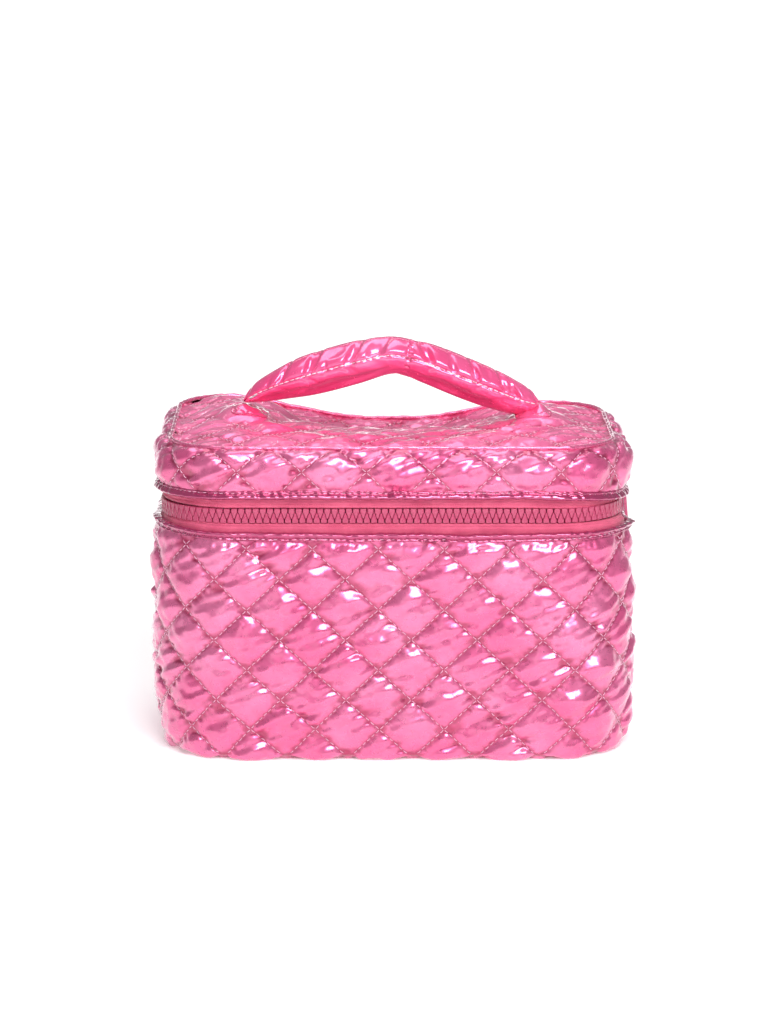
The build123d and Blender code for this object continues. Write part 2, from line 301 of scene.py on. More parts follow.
def quilt(cells, periodic, cell_h, phase, seed):
    """Points of a quilted sheet made of the given cells (i, j), how far its puffs move each, and its quads."""
    n = PUFF_N
    rng = np.random.default_rng(seed)
    k = np.arange(n + 1)
    a = cells[:, 0, None, None] * n + k[None, :, None]
    b = cells[:, 1, None, None] * n + k[None, None, :]
    move = PUFFS[rng.integers(0, len(PUFFS), len(cells))]
    half = rng.integers(0, 2, len(cells)) == 1      # these are turned by half
    move[half] = move[half][:, ::-1, ::-1]
    move[half, ..., 0] *= -1
    move[half, ..., 1] *= -1
    total, differ = a + b, a - b
    repeat = 2 * periodic * n if periodic else 10 ** 6
    key = np.mod(total, repeat).astype(np.int64) * 100000 + (differ + 50000)
    first, back = np.unique(key.reshape(-1), return_index=True, return_inverse=True)[1:]
    u = (total * CELL_W / 2 / n + phase[0]).reshape(-1)[first]
    v = (differ * cell_h / 2 / n + phase[1]).reshape(-1)[first]
    index = back.reshape(len(cells), n + 1, n + 1)
    faces = np.stack([index[:, :-1, :-1], index[:, :-1, 1:], index[:, 1:, 1:], index[:, 1:, :-1]], -1)
    return u, v, move.reshape(-1, 3)[first], faces.reshape(-1, 4)


def round_cells(phase_v, low, high):
    """The cells (i, j) of a closed band between two heights."""
    half = CELL_H / 2
    return np.array([((p + q) // 2, (p - q) // 2) for p in range(2 * CELLS_ROUND) for q in range(-40, 41)
                     if (p + q) % 2 == 0 and low + 0.5 - half < q * half + phase_v < high - 0.5 + half])


def seam_lines(cells, cell_h, phase, pitch=3.1, long=2.3):
    """Start, middle and end of each stitch along the cells' lower-left and lower-right edges, in (u, v)."""
    count = int(SEAM_LONG / pitch)
    start = (np.arange(count) + 0.5 - long / pitch / 2) / count
    t = start[:, None] + np.array([0, 0.5, 1]) * long / pitch / count
    spots = []
    for i, j in cells:
        for a, b in ((i + 0 * t, j + t), (i + t, j + 0 * t)):
            spots.append(np.stack([(a + b) * CELL_W / 2 + phase[0], (a - b) * cell_h / 2 + phase[1]], -1))
    return np.concatenate(spots)


def thread(name, mid_points, up, material, radius=0.21):
    """Stitches: a short tapered capsule through each row of three points. up is the way out of the cloth."""
    p = np.asarray(mid_points)
    count, sides = len(p), 5
    along = p[:, 2] - p[:, 0]
    along /= np.linalg.norm(along, axis=1, keepdims=True) + 1e-9
    up = up / (np.linalg.norm(up, axis=1, keepdims=True) + 1e-9)
    side = np.cross(along, up)
    side /= np.linalg.norm(side, axis=1, keepdims=True) + 1e-9
    lift = np.array([-0.25, 0.1, 0.22, 0.1, -0.25])
    wide = np.array([0.45, 0.95, 1.0, 0.95, 0.45]) * radius
    share = np.array([0.0, 0.2, 0.5, 0.8, 1.0])
    rings = []
    for f, w, l in zip(share, wide, lift):
        q = np.where(f <= 0.5, p[:, 0] + (p[:, 1] - p[:, 0]) * f * 2, p[:, 1] + (p[:, 2] - p[:, 1]) * (f * 2 - 1))
        for s in range(sides):
            t = 2 * pi * s / sides
            rings.append(q + up * l + (np.cos(t) * side + np.sin(t) * up) * w)
    points = np.stack(rings, 1).reshape(-1, 3)
    one = grid_faces(5, sides, closed_cols=True)
    caps = [list(range(sides))[::-1], list(range(4 * sides, 5 * sides))]
    base = np.arange(count) * 5 * sides
    quads = (one[None] + base[:, None, None]).reshape(-1, 4).tolist()
    quads += [[c + o for c in cap] for o in base for cap in caps]
    return make_mesh(name, points, quads, material)


def surface_normal(place, u, v, h):
    e = 0.4
    pu = place(u + e, v, h) - place(u - e, v, h)
    pv = place(u, v + e, h) - place(u, v - e, h)
    n = np.cross(pu, pv)
    return n / (np.linalg.norm(n, axis=-1, keepdims=True) + 1e-9)


def stitched(name, place, spots, keep):
    """Thread along the quilting, for the stitches that keep says are inside the panel."""
    spots = spots[keep(spots[..., 0], spots[..., 1]).all(axis=1)]
    spots = spots + np.random.default_rng(len(spots)).normal(0, 0.08, spots.shape)
    points = place(spots[..., 0], spots[..., 1], np.full(spots.shape[:2], -SEAM_DEEP + 0.12))
    out = surface_normal(place, spots[:, 1, 0], spots[:, 1, 1], np.full(len(spots), -SEAM_DEEP))
    return thread(name, points, out, THREAD_STUFF)


# ---------------------------------------------------------------- materials
class Surface:
    """A material in the making: a Principled shader and the nodes that feed it."""

    def __init__(self, name, **constants):
        self.material = bpy.data.materials.new(name)
        self.material.use_nodes = True
        self.tree = self.material.node_tree
        self.shader = self.tree.nodes["Principled BSDF"]
        for key, value in constants.items():
            self.shader.inputs[key.replace("_", " ")].default_value = value

    def node(self, kind, output=0, values=(), **options):
        made = self.tree.nodes.new(kind)
        for key, value in options.items():
            setattr(made, key, value)
        for key, value in dict(values).items():
            if isinstance(value, bpy.types.NodeSocket):
                self.tree.links.new(value, made.inputs[key])
            else:
                made.inputs[key].default_value = value
        return made.outputs[output]

    def math(self, operation, a, b=0.0):
        return self.node("ShaderNodeMath", operation=operation, values={0: a, 1: b})

    def place(self, cloth=True):
        """Position in mm: along the cloth if it has a weave attribute, else in space."""
        if cloth:
            return self.node("ShaderNodeAttribute", "Vector", attribute_name="weave")
        spot = self.node("ShaderNodeTexCoord", "Object")
        return self.node("ShaderNodeVectorMath", operation="SCALE", values={0: spot, "Scale": 1000.0})

    def noise(self, where, long, detail=3.0, rough=0.55, stretch=None, twist=0.0, turn=0.0):
        if turn:
            where = self.node("ShaderNodeMapping", values={"Vector": where, "Rotation": (0, 0, turn)})
        if stretch:
            where = self.node("ShaderNodeMapping", values={"Vector": where, "Scale": stretch})
        return self.node("ShaderNodeTexNoise", values={"Vector": where, "Scale": 1.0 / long, "Detail": detail,
                                                       "Roughness": rough, "Distortion": twist})

    def spread(self, value, low, high, to_low, to_high):
        return self.node("ShaderNodeMapRange", clamp=True, values={0: value, 1: low, 2: high, 3: to_low, 4: to_high})

    def blend(self, share, one, other):
        made = self.tree.nodes.new("ShaderNodeMix")
        made.data_type = "RGBA"
        self.tree.links.new(share, made.inputs[0])
        for socket, value in ((made.inputs[6], one), (made.inputs[7], other)):
            if isinstance(value, bpy.types.NodeSocket):
                self.tree.links.new(value, socket)
            else:
                socket.default_value = (*value, 1)
        return made.outputs[2]

    def weave(self, where, pitch, twill=0.0):
        """Height of a woven surface from 0 to 1, threads pitch mm apart."""
        parts = self.tree.nodes.new("ShaderNodeSeparateXYZ")
        self.tree.links.new(where, parts.inputs[0])
        along, across = parts.outputs[0], parts.outputs[1]
        if twill:
            along = self.math("ADD", along, self.math("MULTIPLY", across, twill))
        turn = 2 * pi / pitch
        a = self.math("SINE", self.math("MULTIPLY", along, turn))
        b = self.math("SINE", self.math("MULTIPLY", across, turn))
        return self.spread(self.math("MULTIPLY", a, b), -1, 1, 0, 1)

    def bump(self, *layers):
        """Stacks (height, depth in mm) layers of relief."""
        normal = None
        for height, depth in layers:
            values = {"Height": height, "Distance": depth * MM, "Strength": 1.0}
            if normal is not None:
                values["Normal"] = normal
            normal = self.node("ShaderNodeBump", values=values)
        self.tree.links.new(normal, self.shader.inputs["Normal"])

    def feed(self, **sockets):
        for key, value in sockets.items():
            self.tree.links.new(value, self.shader.inputs[key.replace("_", " ")])
        return self.material


def shell_nylon(name, deep, mid, pale, gloss=0.30, drawn=0.9, turn=-0.42, metal=0.58, coat=1.0):
    """Pearly coated nylon: woven fine, with small crinkles that catch the light."""
    s = Surface(name, Metallic=metal, Coat_Weight=coat, Coat_Roughness=0.07, Coat_IOR=1.5,
                Sheen_Weight=0.12, Sheen_Roughness=0.35, Sheen_Tint=(0.90, 0.74, 1.0, 1))
    at = s.place()
    broad = s.noise(at, 45.0, 2.0)
    fine = s.noise(at, 6.0, 4.0, 0.6)
    tone = s.blend(s.spread(broad, 0.36, 0.64, 0, 1), mid, pale)
    tone = s.blend(s.spread(fine, 0.30, 0.55, 0.22, 0), tone, deep)
    # Painted shade: the colour goes over to the deep pink low in the seam hollows, where the puff attribute is near 0.
    puff = s.node("ShaderNodeAttribute", "Fac", attribute_name="puff")
    colour = s.blend(s.spread(puff, 0.0, 0.30, 0, 1), deep, tone)
    drag = s.noise(at, 15.0, 2.0, 0.5, (0.22, 1.6, 1.0), 0.3, turn)
    crinkle = s.noise(at, 6.0, 2.0, 0.5, (0.3, 1.5, 1.0), 0.2, turn * 1.2)
    s.bump((drag, drawn), (crinkle, 0.08 * drawn), (s.weave(at, 0.36), 0.003))
    return s.feed(Base_Color=colour, Roughness=s.spread(s.noise(at, 3.5, 3.0), 0.3, 0.7, gloss - 0.07, gloss + 0.09))


def dull_cloth(name, deep, pale, pitch, relief, rough=0.7, twill=0.0, sheen=0.3):
    """Matte woven cloth or tape with visible threads, the gaps between them darkened as painted shade."""
    s = Surface(name, Sheen_Weight=sheen, Sheen_Roughness=0.5, Specular_IOR_Level=0.35)
    at = s.place()
    threads = s.weave(at, pitch, twill)
    tone = s.blend(s.spread(s.noise(at, 12.0, 4.0), 0.35, 0.65, 0, 1), deep, pale)
    # Painted shade: the colour is darkened where the weave's height is low, between the threads.
    painted_gap_shade = tuple(0.62 * c for c in deep)
    colour = s.blend(s.spread(threads, 0.0, 0.5, 1, 0), tone, painted_gap_shade)
    s.bump((s.noise(at, 5.0, 3.0), 0.12), (threads, relief))
    return s.feed(Base_Color=colour, Roughness=s.spread(s.noise(at, 2.0, 3.0), 0.3, 0.7, rough - 0.08, rough + 0.1))


def solid_stuff(name, deep, pale, rough, grain, relief, cloth=False, **constants):
    """Moulded, cast or fibrous material with a grain."""
    s = Surface(name, **constants)
    at = s.place(cloth)
    speck = s.noise(at, grain, 4.0, 0.6)
    colour = s.blend(s.spread(speck, 0.3, 0.7, 0, 1), deep, pale)
    s.bump((speck, relief))
    return s.feed(Base_Color=colour, Roughness=s.spread(s.noise(at, grain * 6, 2.0), 0.3, 0.7, rough * 0.8, rough * 1.2))


DEEP_PINK = (0.42, 0.030, 0.11)
MID_PINK = (0.77, 0.112, 0.295)
PALE_PINK = (0.82, 0.20, 0.40)
SHELL = shell_nylon("quilted_nylon", DEEP_PINK, MID_PINK, PALE_PINK)
# Painted light, in part: the handle's pinks are brighter and hotter than the walls', partly its own hotter look and
# partly to brighten its shaded underside.
HANDLE_CLOTH = shell_nylon("handle_nylon", (0.78, 0.03, 0.18), (0.95, 0.085, 0.28), (0.97, 0.15, 0.37), 0.20,
                           0.10, 1.4, 0.36)
# Painted light: the top panel, of the walls' nylon, gets its own brighter and more saturated pinks for how the light
# falls on the top.
TOP_CLOTH = shell_nylon("top_nylon", (0.62, 0.045, 0.16), (0.92, 0.125, 0.34), (0.96, 0.21, 0.44), 0.30, 0.9, -0.42,
                        0.38, 0.7)
# Painted highlight: the rims' nylon is given paler pinks than the walls', standing in for the line of light along their
# fold.
RIM_CLOTH = shell_nylon("rim_nylon", (0.46, 0.05, 0.16), (0.86, 0.24, 0.43), (0.95, 0.46, 0.64), 0.16, 0.5, 1.3)
# Painted highlight: the welt cord's nylon is paler still, standing in for the bright line of light along it.
WELT_CLOTH = shell_nylon("welt_nylon", (0.80, 0.15, 0.33), (0.93, 0.36, 0.55), (0.97, 0.56, 0.71), 0.24, 0.3, 1.3)
HINGE_CLOTH = shell_nylon("hinge_nylon", DEEP_PINK, (0.80, 0.13, 0.36), (0.86, 0.20, 0.46), 0.36)
TAPE_CLOTH = dull_cloth("zip_tape_twill", (0.70, 0.087, 0.195), (0.86, 0.142, 0.27), 0.62, 0.05, 0.62, 1.0)
LINING_CLOTH = dull_cloth("lining_taffeta", (0.78, 0.31, 0.47), (0.83, 0.36, 0.52), 0.5, 0.012, 0.38, 0.0, 0.5)
BINDING_CLOTH = dull_cloth("binding_tape", (0.66, 0.14, 0.30), (0.76, 0.20, 0.38), 0.8, 0.05, 0.75, 0.6)
WEBBING_CLOTH = dull_cloth("webbing_nylon", (0.72, 0.62, 0.66), (0.82, 0.74, 0.77), 1.1, 0.12, 0.6, 0.8)
FILLING_STUFF = solid_stuff("fibre_filling", (0.70, 0.68, 0.66), (0.84, 0.83, 0.81), 0.95, 1.4, 0.5, True,
                            Sheen_Weight=0.4)
FOAM_STUFF = solid_stuff("open_cell_foam", (0.62, 0.58, 0.50), (0.82, 0.79, 0.72), 0.95, 0.7, 0.25, True)
BOARD_STUFF = solid_stuff("grey_board", (0.22, 0.19, 0.16), (0.36, 0.32, 0.28), 0.85, 1.1, 0.06)
TEETH_STUFF = solid_stuff("moulded_teeth", (0.44, 0.040, 0.115), (0.54, 0.070, 0.165), 0.30, 0.9, 0.012,
                          Specular_IOR_Level=0.55, Coat_Weight=0.15, Coat_Roughness=0.25)
SLIDER_STUFF = solid_stuff("painted_zinc", (0.52, 0.05, 0.16), (0.60, 0.075, 0.20), 0.28, 1.6, 0.01,
                           Coat_Weight=0.6, Coat_Roughness=0.12, Metallic=0.15)
THREAD_STUFF = solid_stuff("stitch_thread", (0.80, 0.36, 0.56), (0.92, 0.55, 0.72), 0.5, 0.35, 0.03,
                           Sheen_Weight=0.3)
PALE_THREAD = solid_stuff("pale_thread", (0.92, 0.74, 0.82), (0.98, 0.88, 0.92), 0.45, 0.35, 0.03, Sheen_Weight=0.3)


# ---------------------------------------------------------------- the lid's soft shape
SEAM_Z = 167.6                 # top seam of the lid where nothing pulls on it
FOOT_X = 80.0                  # middle of each handle foot


def rear_edge(x):
    """Height of the lid's rear edge: it sags between the feet of the handle."""
    return 161.0 + 9.0 * smooth(np.abs(x), 12, 78) + 4.0 * smooth(-x, 55, 95)


def edge_height(x, y):
    back = smooth(y, -58, 62)
    return SEAM_Z * (1 - back) + rear_edge(x) * back


def inside(x, y, inset):
    """Distance in from the outline moved in by inset: positive inside."""
    radius = CORNER_R - inset
    dx, dy = np.abs(x) - CENTRE_X, np.abs(y) - CENTRE_Y
    return radius - np.hypot(dx.clip(0), dy.clip(0)) - np.minimum(np.maximum(dx, dy), 0)


def top_height(x, y):
    """The lid's top panel without its puffs."""
    away = smooth(inside(x, y, 10.4), 0, 24)
    middle = 1 - smooth(np.abs(x), 34, 84)
    crown = 3.6 - 7.6 * middle * smooth(y, -8, 38) + 1.5 * smooth(-x, 50, 85) * smooth(y, -30, 40)
    pulled = 4.2 * np.exp(-((np.abs(x) - FOOT_X) ** 2 + y ** 2) / 16 ** 2)
    return edge_height(x, y) - 0.8 + away * crown + pulled


def settle(points, u):
    """The zip and the rims beside it run a little uneven where they round the front corners."""
    left, right = np.exp(-((u + 140) / 36) ** 2), np.exp(-((u - 140) / 36) ** 2)
    z = points[..., 2]
    levels = (80, 121, 132, 143, 160)
    shift = left * np.interp(z, levels, (0, 3.2, 1.2, -0.5, 0)) + right * np.interp(z, levels, (0, 1.6, -2.0, -4.6, 0))
    return points + np.stack([0 * z, 0 * z, shift], -1)


def spread(points):
    """The stuffed base bulges at its sides and leans a little to the right, but lies flat behind the pulls."""
    x, y, z = points[..., 0], points[..., 1], points[..., 2]
    flat = (1 - smooth(np.abs(y), 33, 43)) * smooth(x, 90, 110) * smooth(z, 84, 100)
    wide = np.interp(z, (0, 12, 30, 60, 119, 124, 128), (-0.012, 0.004, 0.020, 0.025, 0.020, 0.018, 0))
    lean = np.interp(z, (0, 40, 124, 132), (2.0, 1.0, 1.0, 0))
    pressed = 0.9 * (1 - smooth(z, 125.5, 128.5))
    return np.stack([x + (x * wide + lean) * (1 - flat) - pressed * flat, y * (1 + 0.4 * wide), z], -1)


def lid_lift(x, y, z):
    return (edge_height(x, y) - SEAM_Z) * smooth(z, 146, 166)


# ---------------------------------------------------------------- where a point of each panel goes
def place_base(u, v, out):
    """v is the height on the wall, carried on round the bottom edge and under the bag."""
    roll = 4.5
    turn = np.clip((roll - v) / roll, 0, pi / 2)
    under = np.clip(roll * (1 - pi / 2) - v, 0, None)
    belly = 1.1 * np.sin(pi * np.clip(v / 119, 0, 1)) - 0.5
    soft = wall_wave(u, v) * smooth(v, 2, 14)
    bulge = (out + (belly + soft) * smooth(v, -3, 12))
    inset = roll - (roll + bulge) * np.cos(turn) + under
    z = np.where(v >= roll, v, roll - (roll + bulge) * np.sin(turn))
    z = np.where(under > 0, -out * 0.35, z)
    x, y, nx, ny = outline(u)
    return settle(spread(np.stack([x - nx * inset, y - ny * inset, np.maximum(z, 0.0)], -1)), wrap(u))


def place_lid(u, v, out):
    """v is the height on the lid's wall, carried on over its top edge."""
    roll = 9.0
    centre = LID_HIGH[2] - roll
    turn = np.clip((v - centre) / roll, 0, pi / 2)
    soft = 0.5 * wall_wave(u + 300, v) * smooth(v, 144, 156)
    bulge = out + soft + 0.4 * np.sin(pi * np.clip((v - 145) / 24, 0, 1))
    inset = roll - (roll + bulge) * np.cos(turn)
    z = np.where(v <= centre, v, centre + (roll + bulge) * np.sin(turn))
    x, y, nx, ny = outline(u)
    x, y = x - nx * inset, y - ny * inset
    return settle(np.stack([x, y, z + lid_lift(x, y, z)], -1), wrap(u))


def foot_press(x, y):
    """1 where a handle foot holds the top down, 0 away from it."""
    gap = np.hypot((np.abs(np.abs(x) - FOOT_X) - 8).clip(0), (np.abs(y) - 9).clip(0))
    return 1 - smooth(gap, 0, 9)


def place_top(x, y, out):
    return np.stack([x, y, top_height(x, y) + out], -1)


def place_bottom(x, y, out):
    return spread(np.stack([x, y, np.maximum(1.3 - 0.5 * out, 0.02)], -1))


wall_field = wave_noise(5, 9, (55, 140))


def wall_wave(u, v):
    """Slow unevenness of the stuffed walls, closed round the bag."""
    turn = 2 * pi * u / PERIMETER
    return 0.6 * wall_field(95 * np.cos(turn) + 0.5 * v, 95 * np.sin(turn) + 0.9 * v)


def drag_lines(seed):
    """Small folds that stand away from a border, running mostly across it."""
    field = wave_noise(seed, 70, (4.2 * 0.7, 4.2 * 2.2))
    return lambda along, away: field(along + 0.25 * away, 0.22 * away)


# ---------------------------------------------------------------- quilted panels
def finish_quilt(name, u, v, move, faces, depth_in, fade, drag, place, material, border):
    """depth_in is how far each point lies in from the panel's border; points beyond it are dropped.
    border is how far out of the wall's face the panel lies at its border."""
    u2, v2 = u + move[:, 0], v + move[:, 1]
    edge = smooth(depth_in, 0, fade)
    rough = drag * np.exp(-depth_in.clip(0) / 5.5) * smooth(depth_in, 0.2, 3.0)
    out = border + (-SEAM_DEEP - border) * smooth(depth_in, 0, 5) + move[:, 2] * edge + rough
    points = place(u2, v2, out)
    live = (depth_in[faces] > 0.02).any(axis=1)
    faces = faces[live]
    used, back = np.unique(faces.reshape(-1), return_inverse=True)
    piece = make_mesh(name, points[used], back.reshape(-1, 4), material)
    add_uv(piece, np.stack([u2, v2], -1)[used])
    # The puff height also drives the painted shade in the seam hollows.
    add_puff(piece, (move[:, 2] / PUFF_HIGH).clip(0, 1)[used])
    return piece


def quilted_wall(name, phase, low, high, place, seed, drag_low, drag_high, fade, borders):
    """A band of quilting round the bag, and where its stitches are. borders: see finish_quilt."""
    cells = round_cells(phase[1], low, high)
    u, v, move, faces = quilt(cells, CELLS_ROUND, CELL_H, phase, seed)
    near_low, near_high = v - low, high - v
    depth = np.minimum(near_low, near_high)
    v = v.clip(low, high)
    closeness = np.exp(-near_high.clip(0) / 4.0) * drag_high(u, near_high) + \
        np.exp(-near_low.clip(0) / 4.0) * drag_low(u, near_low)
    move = move * np.where(depth > 0, 1, 0)[:, None]
    limit = np.minimum(depth.clip(0) * 0.8, 3.0)
    move[:, 1] = np.clip(move[:, 1], -limit, limit)
    border = np.where(near_high < near_low, borders[1], borders[0])
    piece = finish_quilt(name, u, v, move, faces, depth, fade, closeness, place, SHELL, border)
    return piece, seam_lines(cells, CELL_H, phase)


def quilted_panel(name, inset, place, phase, seed, amount, lid):
    """Flat quilting with the bag's outline, and where its stitches are. The lid's is held down at the handle."""
    cell = CELL_W
    reach_x, reach_y = HALF_X - inset, HALF_Y - inset
    cells = []
    for p in range(-24, 25):
        for q in range(-24, 25):
            if (p + q) % 2 == 0:
                cx, cy = p * cell / 2 + phase[0], q * cell / 2 + phase[1]
                if inside(np.array(cx), np.array(cy), inset) > -cell / 2 and abs(cx) < reach_x + cell / 2 \
                        and abs(cy) < reach_y + cell / 2:
                    cells.append(((p + q) // 2, (p - q) // 2))
    cells = np.array(cells)
    x, y, move, faces = quilt(cells, 0, cell, phase, seed)
    depth, x, y = push_in(x, y, inset)
    move = move * amount * np.where(depth > 0, 1, 0)[:, None]
    move[:, :2] *= smooth(depth, 0, 5)[:, None]
    pressed = foot_press(x, y) if lid else 0 * x
    move[:, 2] = move[:, 2] * (1 - pressed) + 2.2 * pressed
    piece = finish_quilt(name, x, y, move, faces, depth, 7.0, drag_lines(seed)(x + y, depth) * 0.5, place,
                         TOP_CLOTH if lid else SHELL, -0.2 if lid else -SEAM_DEEP)
    return piece, seam_lines(cells, cell, phase)


WALL_UNDER = -8.5      # the base wall is carried on this far past the bottom edge, under the bag
LID_OVER = 172.0       # and the lid's wall this far over its top edge
TOP_INSET = HALF_X - TOP_HIGH[0] - 2.0
base_wall, base_spots = quilted_wall("base_wall_quilting", PHASE_BASE, WALL_UNDER, WALL_HIGH[2], place_base, 21,
                                     drag_lines(31), drag_lines(32), 6.0, (-2.3, -2.3))
lid_wall, lid_spots = quilted_wall("lid_wall_quilting", PHASE_LID, LID_LOW[2], LID_OVER, place_lid, 22,
                                   drag_lines(33), drag_lines(34), 5.0, (-2.3, -0.5))
lid_top, top_spots = quilted_panel("lid_top_quilting", TOP_INSET, place_top, (3.0, -4.0), 23, 0.85, True)
bottom = quilted_panel("base_bottom_quilting", HALF_X - BOTTOM_HIGH[0] - 0.5, place_bottom, (0.0, 0.0), 24, 0.8,
                       False)[0]
for piece, body, node, fill in ((base_wall, "base", "base_quilted_wall", 0.5), (lid_wall, "lid", "lid_quilted_wall", 0.5),
                                (lid_top, "lid", "lid_quilted_top", 0.5), (bottom, "base", "base_quilted_bottom", 0.4)):
    attach(piece, body, [node])

for name, body, place, spots, keep in (
        ("base_wall_stitching", "base", place_base, base_spots, lambda u, v: (v > 2) & (v < WALL_HIGH[2] - 1)),
        ("lid_wall_stitching", "lid", place_lid, lid_spots, lambda u, v: (v > LID_LOW[2] + 1) & (v < LID_OVER - 0.5)),
        ("lid_top_stitching", "lid", place_top, top_spots,
         lambda x, y: (inside(x, y, TOP_INSET) > 2.5) & (foot_press(x, y) < 0.1))):
    attach(stitched(name, place, spots, keep), body)


# ---------------------------------------------------------------- bands carried round the outline
def to_u(s, inset):
    """Outline position for a true length s along the line moved in by inset."""
    arc = (CORNER_R - inset) * pi / 2
    steps = np.cumsum([0, CENTRE_X, arc, 2 * CENTRE_Y, arc, CENTRE_X])
    knots = np.cumsum([0, CENTRE_X, ARC, 2 * CENTRE_Y, ARC, CENTRE_X])
    return np.sign(s) * np.interp(np.abs(s), steps, knots)


def rounded_section(inset0, inset1, z0, z1, radius, steps=5):
    """Cross-section of a band as (inset, z) points, counter-clockwise seen along the band."""
    points = []
    for ci, cz, start in ((inset1 - radius, z0 + radius, 0), (inset1 - radius, z1 - radius, 1),
                          (inset0 + radius, z1 - radius, 2), (inset0 + radius, z0 + radius, 3)):
        for k in range(steps):
            t = (start - 1 + k / (steps - 1)) * pi / 2
            points.append((ci + radius * np.cos(t), cz + radius * np.sin(t)))
    return np.array(points)


def densify(section, step):
    """More points on the long sides of a closed cross-section."""
    out = []
    for p, q in zip(section, np.roll(section, -1, axis=0)):
        count = max(1, int(np.ceil(np.hypot(*(q - p)) / step)))
        out += [p + (q - p) * k / count for k in range(count)]
    return np.array(out)


def sweep(name, section, material, u_from=None, u_to=None, step=1.4, change=None, lid=False, base=False):
    """A closed cross-section carried round the outline, all the way or from u_from to u_to.
    lid and base say whose soft shape it follows."""
    closed = u_from is None
    if closed:
        count = int(round(PERIMETER / step))
        u = np.arange(count) * PERIMETER / count
    else:
        u = np.linspace(u_from, u_to, int((u_to - u_from) / step) + 2)
    inset = np.broadcast_to(section[:, 0], (len(u), len(section))).copy()
    z = np.broadcast_to(section[:, 1], inset.shape).copy()
    if change:
        inset, z = change(u[:, None], inset, z)
    x, y, nx, ny = outline(u)
    px, py = x[:, None] - nx[:, None] * inset, y[:, None] - ny[:, None] * inset
    if lid:
        z = z + lid_lift(px, py, z)
    points = np.stack([px, py, z], -1)
    points = settle(spread(points) if base else points, wrap(u)[:, None]).reshape(-1, 3)
    faces = grid_faces(len(u), len(section), closed_cols=True, closed_rows=closed)[:, ::-1].tolist()
    if not closed:
        faces.append(list(range(len(section))))
        faces.append(list(range(len(points) - len(section), len(points)))[::-1])
    piece = make_mesh(name, points, faces, material)
    girth = np.concatenate([[0], np.cumsum(np.hypot(*np.diff(section, axis=0).T))])
    add_uv(piece, np.stack(np.broadcast_arrays(u[:, None], girth[None]), -1).reshape(-1, 2))
    return piece


def row_of_stitches(name, s_from, s_to, place, material, pitch=3.2, long=2.3, radius=0.21):
    """Topstitching along a band: place(u) gives points and the way out of the cloth."""
    start = np.arange(s_from, s_to - long, pitch)
    spots = start[:, None] + np.array([0, long / 2, long])[None]
    points, out = place(spots)
    return thread(name, points, out[:, 1], material, radius)


def on_outline(inset, z, base=False):
    def place(u):
        x, y, nx, ny = outline(u)
        points = np.stack([x - nx * inset, y - ny * inset, np.full(np.shape(u), float(z))], -1)
        return settle(spread(points) if base else points, wrap(u)), np.stack([nx, ny, 0 * nx], -1)
    return place


def rim_shape(seed, stitch_z, bulge_z):
    """Puckers, the rounded fold and the stitched groove of a rim."""
    small = wave_noise(seed, 60, (3.0, 8.0))
    slow = wave_noise(seed + 1, 12, (30, 90))

    def change(u, inset, z):
        outer = smooth(3.5 - inset, -0.5, 0.8)
        groove = 0.75 * np.exp(-((z - stitch_z) / 0.42) ** 2)
        fold = 1.25 * np.exp(-((z - bulge_z) / 1.4) ** 2)
        beat = 0.20 * np.cos(2 * pi * u / 3.2) * np.exp(-((z - stitch_z) / 1.0) ** 2)
        inset = inset + outer * (groove - fold + beat - 0.20 * small(u + 0.6 * z, 0.4 * z)) - 0.25 * slow(u, z)
        return inset, z + 0.10 * small(u + 50, z) + 0.2 * slow(u, 0 * z)
    return change


rim_in = HALF_X - RIM_HIGH[0]
rim_out = rim_in + 3.0
base_stitch, lid_stitch = RIM_LOW[2] + 1.0, LRIM_HIGH[2] - 0.7
section = densify(rounded_section(rim_in - 0.4, rim_out, RIM_LOW[2] - 0.3, RIM_HIGH[2], 1.2, 5), 0.35)
base_rim = sweep("base_rim_fold_cloth", section, RIM_CLOTH, step=0.9, base=True,
                 change=rim_shape(41, base_stitch, RIM_HIGH[2] - 1.2))
attach(base_rim, "base", ["base_rim_fold"])
section = densify(rounded_section(rim_in - 0.6, rim_out, LRIM_LOW[2], LRIM_HIGH[2] + 0.6, 1.3, 5), 0.35)
lid_rim = sweep("lid_rim_fold_cloth", section, RIM_CLOTH, step=0.9,
                change=rim_shape(43, lid_stitch, LRIM_LOW[2] + 1.6))
attach(lid_rim, "lid", ["lid_rim_fold"])
for name, body, z, base in (("base_rim_topstitch", "base", base_stitch, True),
                            ("lid_rim_topstitch", "lid", lid_stitch, False)):
    row = row_of_stitches(name, -PERIMETER / 2, PERIMETER / 2, on_outline(rim_in + 0.25, z, base), THREAD_STUFF,
                          radius=0.2)
    attach(row, body)

# welt: a thin corded seam round the top of the lid
welt_mid = HALF_X - node_mm("lid_top_welt")[1][0] + 1.2
ring = np.linspace(0, 2 * pi, 15)[:-1]
section = np.stack([welt_mid + 1.15 * np.cos(ring), LID_HIGH[2] + 0.15 + 1.1 * np.sin(ring)], -1)
welt_wave = wave_noise(47, 30, (4.0, 12.0))
welt = sweep("lid_top_welt_cord", section, WELT_CLOTH, step=1.0, lid=True,
             change=lambda u, i, z: (i + 0.12 * welt_wave(u, z), z + 0.10 * welt_wave(u + 90, z)))
attach(welt, "lid", ["lid_top_welt"])


# ---------------------------------------------------------------- the zip
TAPE_IN, TAPE_OUT = HALF_X - LTAPE_HIGH[0], HALF_X - LTAPE_HIGH[0] + 0.8
TAPE_MID = (TAPE_IN + TAPE_OUT) / 2
ZIP_TURN = 58                   # degrees round each rear corner to the end of the zip
TAPE_END = CENTRE_X + ARC + 2 * CENTRE_Y + CORNER_R * (ZIP_TURN * pi / 180)
TEETH_PITCH, TEETH_EACH = 3.75, 65


